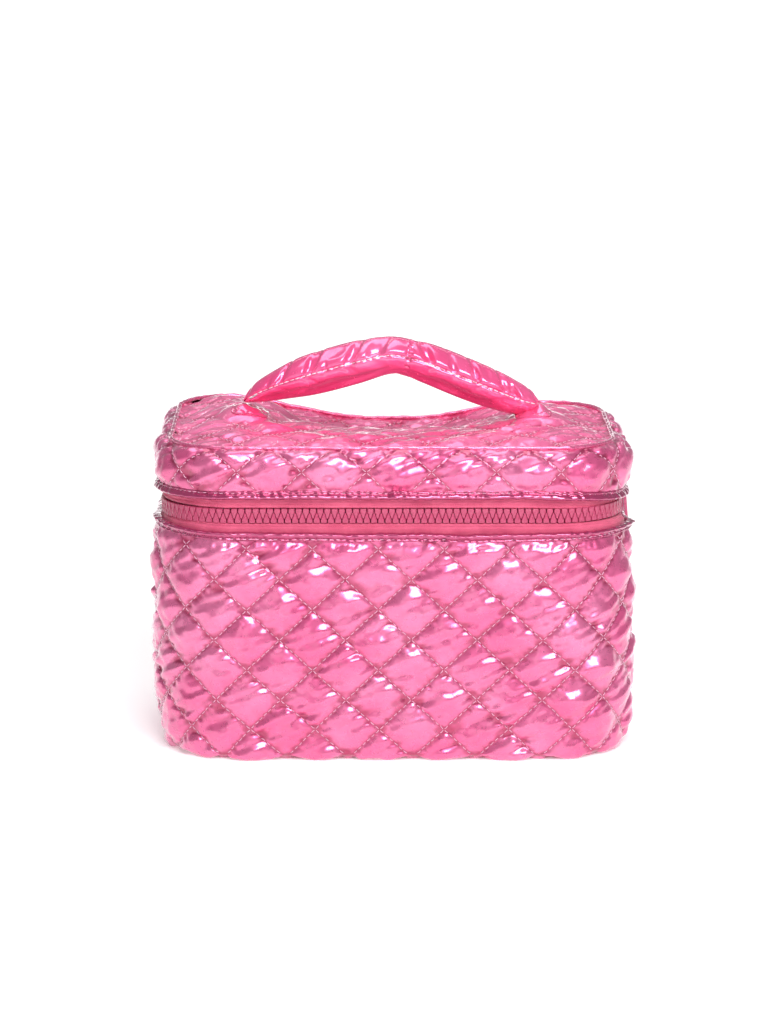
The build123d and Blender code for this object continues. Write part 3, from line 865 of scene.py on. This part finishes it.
def tape_section(low, high, up):
    """A woven strip with a corded edge by the teeth (up = 1: the teeth are above)."""
    bead = (high - 1.0) if up == 1 else (low + 1.0)
    outer = [(TAPE_IN - 0.55 * np.exp(-((z - bead) / 0.55) ** 2) - 0.12 * np.exp(-((z - bead + up * 2.0) / 0.3) ** 2), z)
             for z in np.linspace(high - 0.1, low + 0.1, 34)]
    inner = [(TAPE_OUT, z) for z in np.linspace(low, high, 14)]
    return np.array(inner + outer)


tape_wave = wave_noise(51, 20, (18, 60))
for name, node, body, (low, high), up in (
        ("zip_tape_lower_weave", "zip_tape_lower", "base", (LTAPE_LOW[2], LTAPE_HIGH[2]), 1),
        ("zip_tape_upper_weave", "zip_tape_upper", "lid", (UTAPE_LOW[2], UTAPE_HIGH[2]), -1)):
    tape = sweep(name, tape_section(low, high, up), TAPE_CLOTH, -TAPE_END, TAPE_END, 1.2, base=up == 1,
                 change=lambda u, i, z: (i + 0.12 * tape_wave(u, z), z))
    attach(tape, body, [node])

bead_z = UTAPE_LOW[2] + 1.9
for name, body, z in (("zip_tape_stitch_lower", "base", LTAPE_HIGH[2] - 1.9), ("zip_tape_stitch_upper", "lid", bead_z)):
    row = row_of_stitches(name, -TAPE_END + 3, TAPE_END - 3, on_outline(TAPE_IN - 0.02, z), TAPE_CLOTH, 1.25, 0.95, 0.2)
    attach(row, body)


# half-widths of a moulded tooth from its root on the tape to the tip of its head
TOOTH = [(0.0, 1.45), (0.4, 1.66), (1.8, 1.68), (2.3, 1.42), (3.1, 1.05), (3.9, 0.86), (4.7, 0.62), (5.2, 0.36),
         (5.4, 0.14)]


def teeth_row(name, up, node, body):
    """One side of the chain: a moulded tooth, repeated along the tape."""
    shape = np.array([(w, z) for z, w in TOOTH] + [(-w, z) for z, w in reversed(TOOTH)])
    middle = np.array([0, 2.6])
    depth = [(-1.72, 0.55), (-1.62, 0.82), (-1.25, 1.0), (1.25, 1.0), (1.62, 0.82), (1.72, 0.55)]
    rings = []
    for d, size in depth:
        p = middle + (shape - middle) * (1 - (1 - size) * np.array([0.55, 0.22]))
        fall = 0.35 * smooth(shape[:, 1], 2.2, 4.6) * np.sign(d)
        rings.append(np.stack([p[:, 0], d - fall, p[:, 1]], -1))
    one = np.stack(rings).reshape(-1, 3)
    m = len(shape)
    one_faces = grid_faces(len(depth), m, closed_cols=True).tolist()
    one_faces += [list(range(m))[::-1], list(range((len(depth) - 1) * m, len(depth) * m))]
    if up == -1:
        one_faces = [f[::-1] for f in one_faces]
    spots = [(k + (0.5 if up == 1 else 0)) * TEETH_PITCH for k in range(-TEETH_EACH, TEETH_EACH + (up == -1))]
    x, y, nx, ny = outline(to_u(np.array(spots), TAPE_MID))
    root = ZIP_Z - up * 3.8
    points, faces = [], []
    for k in range(len(spots)):
        px = x[k] - nx[k] * TAPE_MID + one[:, 0] * -ny[k] - one[:, 1] * nx[k]
        py = y[k] - ny[k] * TAPE_MID + one[:, 0] * nx[k] - one[:, 1] * ny[k]
        points.append(np.stack([px, py, root + up * one[:, 2]], -1))
        faces += [[i + k * len(one) for i in f] for f in one_faces]
    row = make_mesh(name, np.concatenate(points), faces, TEETH_STUFF, False)
    bevel = row.modifiers.new("soft edges", "BEVEL")
    bevel.width, bevel.segments, bevel.limit_method, bevel.angle_limit = 0.12 * MM, 2, "ANGLE", 0.6
    attach(row, body, [node])


teeth_row("zip_teeth_lower_row", 1, "zip_teeth_lower", "base")
teeth_row("zip_teeth_upper_row", -1, "zip_teeth_upper", "lid")


# ---------------------------------------------------------------- the fabric hinge at the back
HINGE_REACH = CENTRE_X + CORNER_R * (90 - ZIP_TURN) * pi / 180 + 0.2       # from the middle of the back to the zip


def hinge_sheet(name, node, thick, material, seed):
    """A strip across the back, where the lid turns on the base."""
    (_, _, low), (_, reach, high) = node_mm(node)
    inset = HALF_Y - reach
    ends = PERIMETER / 2 - HINGE_REACH
    small = wave_noise(seed, 50, (4.0, 14.0))
    rows = np.linspace(low, high, 22)
    section = np.array([(inset + thick, z) for z in rows] + [(inset, z) for z in rows[::-1]])

    def change(u, i, z):
        fold = np.sin(pi * np.clip((z - low) / (high - low), 0, 1))
        return i + 0.30 * small(0.5 * u, 1.6 * z) * fold, z
    strip = sweep(name, section, material, ends, PERIMETER - ends, 1.6, change)
    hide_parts(node)
    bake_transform(strip)


hinge_sheet("hinge_outer_cloth", "hinge_outer_panel", 1.6, HINGE_CLOTH, 61)
hinge_sheet("hinge_lining_cloth", "hinge_lining", 0.6, LINING_CLOTH, 62)


# ---------------------------------------------------------------- inside: linings, foam, binding
def side_lining(name, node, body, seed, lid):
    """The loose lining of a wall, with creases that run mostly upright."""
    (_, _, low), (reach, _, high) = node_mm(node)
    inset = HALF_X - reach
    creases = wave_noise(seed, 60, (9.0, 34.0))
    broad = wave_noise(seed + 1, 12, (60, 140))
    rows = np.linspace(low, high, 12 if lid else 46)
    section = np.array([(inset + 0.5, z) for z in rows] + [(inset, z) for z in rows[::-1]])

    def change(u, i, z):
        loose = np.sin(pi * np.clip((z - low) / (high - low), 0, 1)) ** 0.5
        ridge = 1 - np.abs(creases(0.8 * u, 0.45 * z)).clip(0, 2) / 2
        return i + loose * (1.0 * ridge ** 2 + 0.5 * broad(u, z)).clip(0, 2.6), z
    piece = sweep(name, section, LINING_CLOTH, step=2.0, change=change, lid=lid)
    attach(piece, body, [node])


def flat_sheet(name, inset, height, thick, step, material):
    """A flat closed piece with the bag's outline. height(x, y) is its upper face."""
    reach_x, reach_y = HALF_X - inset, HALF_Y - inset
    nx, ny = int(2 * reach_x / step) + 2, int(2 * reach_y / step) + 2
    x, y = np.meshgrid(np.linspace(-reach_x, reach_x, nx), np.linspace(-reach_y, reach_y, ny), indexing="ij")
    x, y = x.reshape(-1), y.reshape(-1)
    depth, x, y = push_in(x, y, inset)
    quads = grid_faces(nx, ny)
    quads = quads[(depth[quads] > 0.02).any(axis=1)][:, ::-1]
    used, back = np.unique(quads.reshape(-1), return_inverse=True)
    quads = back.reshape(-1, 4)
    x, y = x[used], y[used]
    top = height(x, y)
    count = len(x)
    edges = {}
    for face in quads.tolist():
        for p, q in zip(face, face[1:] + face[:1]):
            edges[(p, q)] = edges.get((p, q), 0) + 1
    rim = [(p, q) for (p, q) in edges if (q, p) not in edges]
    points = np.concatenate([np.stack([x, y, top], -1), np.stack([x, y, top - thick(x, y)], -1)])
    faces = quads.tolist() + (quads[:, ::-1] + count).tolist() + [[q, p, p + count, q + count] for p, q in rim]
    piece = make_mesh(name, points, faces, material)
    add_uv(piece, np.concatenate([np.stack([x, y], -1)] * 2))
    return piece


side_lining("base_wall_lining_cloth", "base_wall_lining", "base", 71, False)
side_lining("lid_wall_lining_cloth", "lid_wall_lining", "lid", 73, True)

floor_crease = wave_noise(75, 50, (14, 50))
floor_cloth = flat_sheet("base_floor_lining_cloth", HALF_X - FLOOR_HIGH[0],
                         lambda x, y: FLOOR_HIGH[2] + 0.9 * (1 - np.abs(floor_crease(x, y)).clip(0, 2) / 2) ** 3
                         * smooth(inside(x, y, 9.7), 0, 10), lambda x, y: 0.5 + 0 * x, 2.2, LINING_CLOTH)
attach(floor_cloth, "base", ["base_floor_lining"])


def ceiling(x, y):
    """Height of the lining inside the lid, which follows the sag of the top."""
    loose = smooth(inside(x, y, 9.7), 0, 12)
    return np.minimum(CEIL_HIGH[2], top_height(x, y) - 5.2) - loose * 0.8 * \
        (1 - np.abs(floor_crease(x + 400, y)).clip(0, 2) / 2) ** 3


ceiling_cloth = flat_sheet("lid_ceiling_lining_cloth", HALF_X - CEIL_HIGH[0], ceiling, lambda x, y: 0.5 + 0 * x, 2.2,
                           LINING_CLOTH)
attach(ceiling_cloth, "lid", ["lid_ceiling_lining"])

foam_rough = wave_noise(81, 40, (5, 16))
for body in ("base", "lid"):
    foam_low, foam_high = node_mm(body + "_wall_foam")
    low = 9.0 if body == "base" else foam_low[2] + 0.3
    section = densify(rounded_section(HALF_X - foam_high[0] + 0.6, HALF_X - foam_high[0] + 3.3, low,
                                      foam_high[2] - 0.5, 1.0, 4), 3.0)
    foam = sweep(body + "_wall_foam_pad", section, FOAM_STUFF, step=3.0, lid=body == "lid",
                 change=lambda u, i, z: (i + 0.12 * foam_rough(u, z), z))
    attach(foam, body, [body + "_wall_foam"])
foam_high = node_mm("lid_top_foam")[1]
top_foam = flat_sheet("lid_top_foam_pad", HALF_X - foam_high[0] + 0.5,
                      lambda x, y: top_height(x, y) - SEAM_DEEP - 0.5 + 0.1 * foam_rough(x, y),
                      lambda x, y: (top_height(x, y) - SEAM_DEEP - 0.5 - ceiling(x, y) - 0.3).clip(0.6, 6.0),
                      3.5, FOAM_STUFF)
attach(top_foam, "lid", ["lid_top_foam"])

bind_low, bind_high = node_mm("base_seam_binding")
bind_in = HALF_X - bind_high[0]
section = densify(rounded_section(bind_in, bind_in + 4.0, bind_low[2], bind_high[2], min(0.9, (bind_high[2]
                  - bind_low[2]) * 0.45), 4), 0.8)
binding = sweep("base_seam_binding_tape", section, BINDING_CLOTH, step=2.0,
                change=lambda u, i, z: (i + 0.15 * foam_rough(u, z), z))
attach(binding, "base", ["base_seam_binding"])


# ---------------------------------------------------------------- the handle
def handle_line(count):
    """Middle line and half-heights of the handle in the XZ plane, evenly spaced from left to right."""
    rows = np.array([  # x, middle z, half height, half width
        (-80.0, 181.0, 1.2, 3.0), (-76.0, 183.6, 4.2, 5.0), (-70.0, 186.6, 6.8, 7.0), (-58.0, 191.3, 9.2, 9.5),
        (-44.0, 195.6, 11.6, 11.0), (-20.0, 202.2, 12.0, 11.6), (-2.0, 206.2, 10.6, 11.4), (8.0, 205.2, 10.4, 11.0),
        (20.0, 201.6, 11.6, 11.6), (38.0, 194.4, 12.0, 11.6), (56.0, 187.0, 11.3, 10.6), (67.0, 182.6, 9.6, 9.0),
        (75.0, 180.3, 6.6, 7.0), (79.5, 179.6, 2.6, 4.0)])
    fine = np.linspace(0, 1, 700)
    spline = []
    for column in rows.T:
        slope = np.gradient(column)
        i = np.minimum((fine * (len(rows) - 1)).astype(int), len(rows) - 2)
        f = fine * (len(rows) - 1) - i
        spline.append((2 * f ** 3 - 3 * f ** 2 + 1) * column[i] + (f ** 3 - 2 * f ** 2 + f) * slope[i]
                      + (-2 * f ** 3 + 3 * f ** 2) * column[i + 1] + (f ** 3 - f ** 2) * slope[i + 1])
    spline = np.array(spline)
    run = np.concatenate([[0], np.cumsum(np.hypot(np.diff(spline[0]), np.diff(spline[1])))])
    s = np.linspace(0, run[-1], count)
    return s, np.array([np.interp(s, run, c) for c in spline])


def handle_point(line, around, swell=1.0):
    """Points on the tube: around is 0 at the front (-Y) and grows over the top."""
    x, z, tall, wide = line
    slope_x, slope_z = np.gradient(x), np.gradient(z)
    size = np.hypot(slope_x, slope_z)
    slope_x, slope_z = slope_x / size, slope_z / size
    up = np.sin(around)[None]
    out = -np.cos(around)[None]
    squared = 1 + 0.06 * np.cos(2 * around)[None] ** 2
    px = x[:, None] - slope_z[:, None] * up * tall[:, None] * slope_x[:, None] * swell * squared
    pz = z[:, None] + slope_x[:, None] * up * tall[:, None] * slope_x[:, None] * swell * squared
    py = out * wide[:, None] * swell * squared
    return np.stack([px, np.broadcast_to(py, px.shape), pz], -1)


def make_handle():
    """A stuffed tube of nylon, sewn along its front and gathered on the seam, blown up by simulation."""
    rows, cols = 300, 96
    s, line = handle_line(rows)
    around = np.arange(cols) * 2 * pi / cols
    seam_col = 2                            # a little above the middle of the front
    folds = wave_noise(91, 70, (6.0, 16.0))
    start = handle_point(line, around, 0.93)
    grid_s, grid_c = np.broadcast_to(s[:, None], (rows, cols)), np.broadcast_to(around[None] * 11.5, (rows, cols))
    middle = np.stack(np.broadcast_arrays(line[0][:, None], 0 * grid_s, line[1][:, None]), -1)
    away = start - middle
    away /= np.linalg.norm(away, axis=-1, keepdims=True) + 1e-9
    wrap = np.minimum(np.mod(grid_c, 2 * pi * 11.5), 2 * pi * 11.5 - np.mod(grid_c, 2 * pi * 11.5))
    from_seam = np.abs(np.mod(np.arange(cols) - seam_col + cols / 2, cols) - cols / 2) * 2 * pi * 11.5 / cols
    above = np.mod(np.arange(cols) - seam_col, cols) < cols / 2
    fan = np.exp(-(from_seam / np.where(above, 11.0, 8.0)) ** 2) * smooth(from_seam, 0, 3) * np.where(above, 1.0, 0.22)
    lean = np.where(grid_s < s[-1] * 0.55, -0.55, 0.55)
    field = folds(grid_s + lean * wrap, 0.13 * wrap)
    sharp = 1.3 * field.clip(-1.6, 1.6) + 1.1 * (0.6 - np.abs(field)).clip(-1, 1)
    start = start + away * (1.05 * sharp * fan[None])[..., None]
    cinch = np.exp(-((line[0] - 9.0) / 4.0) ** 2)
    pins = np.zeros((rows, cols), bool)
    pins[0] = pins[-1] = True
    pins[:, seam_col] = True
    rough = wave_noise(92, 30, (3.5, 9.0))(s, 0 * s)
    pull = (1.3 + 0.5 * rough + 1.8 * cinch) * smooth(s, 0, 12) * smooth(s[-1] - s, 0, 12)
    start[:, seam_col] -= away[:, seam_col] * pull[:, None]
    for ring in range(rows):                # a cord ties the middle in
        if cinch[ring] > 0.9:
            pins[ring, ::6] = True
            start[ring, ::6] -= away[ring, ::6] * 1.6
    girth = np.pi * (3 * (line[2] + line[3]) - np.sqrt((3 * line[2] + line[3]) * (line[2] + 3 * line[3])))
    radius = girth / (2 * pi) * 1.02
    rest = np.stack([np.broadcast_to((s * 1.045)[:, None], (rows, cols)), np.cos(around)[None] * radius[:, None],
                     np.sin(around)[None] * radius[:, None]], -1)
    end = run_cloth(start.reshape(-1, 3), grid_faces(rows, cols, closed_cols=True), rest.reshape(-1, 3),
                    pins.reshape(-1), 2.2, 22, 60.0, 6.0).reshape(rows, cols, 3)
    shift = end - handle_point(line, around)
    far = np.linalg.norm(shift, axis=-1, keepdims=True)
    end = handle_point(line, around) + shift * np.minimum(1, 3.6 / (far + 1e-9))
    faces = grid_faces(rows, cols, closed_cols=True)[:, ::-1].tolist()
    faces += [list(range(cols)), list(range((rows - 1) * cols, rows * cols))[::-1]]
    piece = make_mesh("handle_sleeve_cloth", end.reshape(-1, 3), faces, HANDLE_CLOTH)
    add_uv(piece, np.stack([grid_s, wrap], -1).reshape(-1, 2))
    # Painted shade: the cloth goes over to its deep pink in a narrow band along the seam crease.
    near = np.abs(np.mod(np.arange(cols) - seam_col + cols / 2, cols) - cols / 2)
    add_puff(piece, np.broadcast_to(smooth(near, 0, 1.6), (rows, cols)))
    seam = end[:, seam_col]
    out = end[:, seam_col] - middle[:, seam_col]
    return piece, seam, out, s


def attach_handle(piece, node=None):
    """Hides the node a piece stands for, if any, and bakes the piece's place into its mesh; it rides on no body."""
    if node:
        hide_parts(node)
    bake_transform(piece)


sleeve, seam, seam_out, run = make_handle()
attach_handle(sleeve, "handle_sleeve")
places = np.arange(3.0, run[-1] - 4.0, 3.1)
spots = places[:, None] + np.array([0, 1.35, 2.7])[None]
points = np.stack([np.interp(spots, run, seam[:, k]) for k in range(3)], -1)
ways = np.stack([np.interp(spots[:, 1], run, seam_out[:, k]) for k in range(3)], -1)
stitches = thread("handle_seam_stitching", points + 0.20 * (ways / np.linalg.norm(ways, axis=1, keepdims=True))[:, None],
                  ways, PALE_THREAD, 0.36)
attach_handle(stitches)


def handle_inner(name, node, low_share, swell, cols, material, flat=None):
    """Filling (a fluffy core) or, where flat is given, the strap along the middle."""
    rows = 90
    s, mid = handle_line(rows)
    keep = slice(int(rows * low_share), rows - int(rows * low_share))
    around = np.arange(cols) * 2 * pi / cols
    if flat:
        mid = np.array([mid[0], mid[1], flat[1] / 2 + 0 * mid[0], flat[0] / 2 + 0 * mid[0]])
    points = handle_point(mid, around, swell)[keep]
    tufts = wave_noise(len(name), 60, (5.0, 18.0))
    if not flat:
        centre = points.mean(axis=1, keepdims=True)
        shape = points - centre
        points = centre + shape * (1 + 0.05 * tufts(s[keep][:, None] + 0 * around, 9 * np.cos(around)[None]
                                                    + 3 * np.sin(around)[None])[..., None])
    count = len(points)
    faces = grid_faces(count, cols, closed_cols=True)[:, ::-1].tolist()
    faces += [list(range(cols)), list(range((count - 1) * cols, count * cols))[::-1]]
    piece = make_mesh(name, points.reshape(-1, 3), faces, material)
    add_uv(piece, np.stack(np.broadcast_arrays(s[keep][:, None], around[None] * 8), -1).reshape(-1, 2))
    attach_handle(piece, node)


handle_inner("handle_filling_core", "handle_filling", 0.07, 0.56, 40, FILLING_STUFF)
handle_inner("handle_webbing_strap", "handle_webbing", 0.03, 1.0, 24, WEBBING_CLOTH, (12.0, 1.6))


HANDLE_FOOT_X = 77.0            # middle of a foot's patch
LUG_X, LUG_TOP = 80.6, 180.2    # the gathered loop that holds the handle's end


def handle_foot(side, name, node):
    """A sewn patch on the lid with a gathered loop rising from it to the end of the handle."""
    half_x, half_y = 10.0, 11.0
    nx, ny = 26, 28
    gx, gy = np.meshgrid(np.linspace(-1, 1, nx), np.linspace(-1, 1, ny), indexing="ij")
    corner = 5.0
    px, py = gx * half_x, gy * half_y
    qx, qy = np.clip(px, -half_x + corner, half_x - corner), np.clip(py, -half_y + corner, half_y - corner)
    gap = np.hypot(px - qx, py - qy)
    scale = np.where(gap > corner, corner / (gap + 1e-9), 1)
    px, py = qx + (px - qx) * scale, qy + (py - qy) * scale
    wx = side * (HANDLE_FOOT_X + px * side)
    edge = (1 - np.maximum(np.abs(gx), np.abs(gy))) * 10
    pucker = wave_noise(97 + side, 40, (3.5, 10.0))(px, py)
    rise = np.exp(-((side * LUG_X - wx) / 3.4) ** 2 - (py / 4.6) ** 2)
    base = top_height(wx, py)
    z = base + 0.5 + 0.5 * smooth(edge, 0, 2) + 0.3 * pucker * smooth(edge, 0, 3) - 0.6 * np.exp(-((edge - 1.6) / 0.5)
                                                                                             ** 2)
    z = z * (1 - rise) + (LUG_TOP - 0.25 * np.abs(pucker)) * rise
    upper = np.stack([wx, py, z], -1)
    lower = np.stack([wx, py, base - 0.8], -1)
    count = nx * ny
    quads = grid_faces(nx, ny)
    quads = quads if side < 0 else quads[:, ::-1]
    ring = [i * ny for i in range(nx)] + [(nx - 1) * ny + j for j in range(1, ny)] \
        + [i * ny + ny - 1 for i in range(nx - 2, -1, -1)] + list(range(ny - 2, 0, -1))
    walls = [[p, q, q + count, p + count] for p, q in zip(ring, ring[1:] + ring[:1])]
    if side < 0:
        walls = [w[::-1] for w in walls]
    faces = quads.tolist() + (quads[:, ::-1] + count).tolist() + walls
    piece = make_mesh(name, np.concatenate([upper.reshape(-1, 3), lower.reshape(-1, 3)]), faces, HANDLE_CLOTH)
    add_uv(piece, np.concatenate([np.stack([wx, py], -1).reshape(-1, 2)] * 2))
    add_puff(piece, np.ones(2 * count))
    subdivision = piece.modifiers.new("smooth", "SUBSURF")
    subdivision.levels = subdivision.render_levels = 1
    attach(piece, "lid", [node])


handle_foot(-1, "handle_foot_left_tab", "handle_foot_left")
handle_foot(1, "handle_foot_right_tab", "handle_foot_right")


# ---------------------------------------------------------------- CAD parts that keep their shape
CAD = {o.name: o for o in bpy.data.objects}
for node, material in (("base_bottom_board", BOARD_STUFF), ("zip_end_stops", TEETH_STUFF),
                       ("zip_slider_front", SLIDER_STUFF), ("zip_slider_rear", SLIDER_STUFF),
                       ("zip_pull_front", SLIDER_STUFF), ("zip_pull_rear", SLIDER_STUFF)):
    for place in CAD[node].material_slots:
        place.material = material


# ---------------------------------------------------------------- floor, light and camera
floor_stuff = Surface("pale_floor", Base_Color=(0.95, 0.95, 0.95, 1), Roughness=0.85, Emission_Color=(1, 1, 1, 1),
                      Emission_Strength=0.35)
floor_stuff.bump((floor_stuff.noise(floor_stuff.place(False), 3.0), 0.01))
deep, arc_r, wide = 3.4, 0.6, 8.0
profile = [(-9.0, 0.0), (deep, 0.0)] + [(deep + arc_r * np.sin(t), arc_r * (1 - np.cos(t)))
                                        for t in np.linspace(0, pi / 2, 14)[1:]] + [(deep + arc_r, 0.8)]
points = [(side * wide * 1000, y * 1000, z * 1000) for y, z in profile for side in (-1, 1)]
floor = make_mesh("studio_floor", points, [[2 * k, 2 * k + 1, 2 * k + 3, 2 * k + 2] for k in range(len(profile) - 1)],
                  floor_stuff.material)

world = bpy.data.worlds.new("studio")
bpy.context.scene.world = world
world.use_nodes = True
world.node_tree.nodes["Background"].inputs[0].default_value = (1.0, 1.0, 1.0, 1)
world.node_tree.nodes["Background"].inputs[1].default_value = 0.24


def soft_light(name, place, aim, size, power, colour=(1, 1, 1)):
    lamp = bpy.data.lights.new(name, "AREA")
    lamp.shape = "RECTANGLE"
    lamp.size, lamp.size_y = size
    lamp.energy = power
    lamp.color = colour
    holder = bpy.data.objects.new(name, lamp)
    bpy.context.scene.collection.objects.link(holder)
    holder.location = place
    holder.rotation_euler = (Vector(aim) - Vector(place)).to_track_quat("-Z", "Y").to_euler()


soft_light("key", (0.30, -1.08, 0.98), (0, 0, 0.10), (0.80, 0.62), 17.5)
soft_light("top", (-0.10, 0.10, 1.5), (0, 0, 0.1), (1.1, 0.8), 7.5)
soft_light("fill", (1.1, -1.2, 0.5), (0, 0, 0.10), (0.5, 0.8), 0.4, (0.97, 0.94, 1.0))
soft_light("front", (-0.6, -2.0, 0.5), (0, 0, 0.10), (0.8, 0.6), 1.6)
soft_light("backdrop", (0, 2.2, 2.2), (0, 3.8, 0.1), (3.0, 1.0), 60)

target = Vector((-0.006, -0.078, 0.135))
look_down, distance = np.radians(11.3), 1.5
camera_data = bpy.data.cameras.new("camera")
camera_data.sensor_fit, camera_data.sensor_width, camera_data.lens = "HORIZONTAL", 36.0, 36.0 * 2880 / 761
camera_data.clip_end = 50
camera = bpy.data.objects.new("camera", camera_data)
bpy.context.scene.collection.objects.link(camera)
camera.location = target + distance * Vector((0, -np.cos(look_down), np.sin(look_down)))
camera.rotation_euler = (target - camera.location).to_track_quat("-Z", "Y").to_euler()
bpy.context.scene.camera = camera
bpy.context.scene.view_settings.view_transform = "Standard"
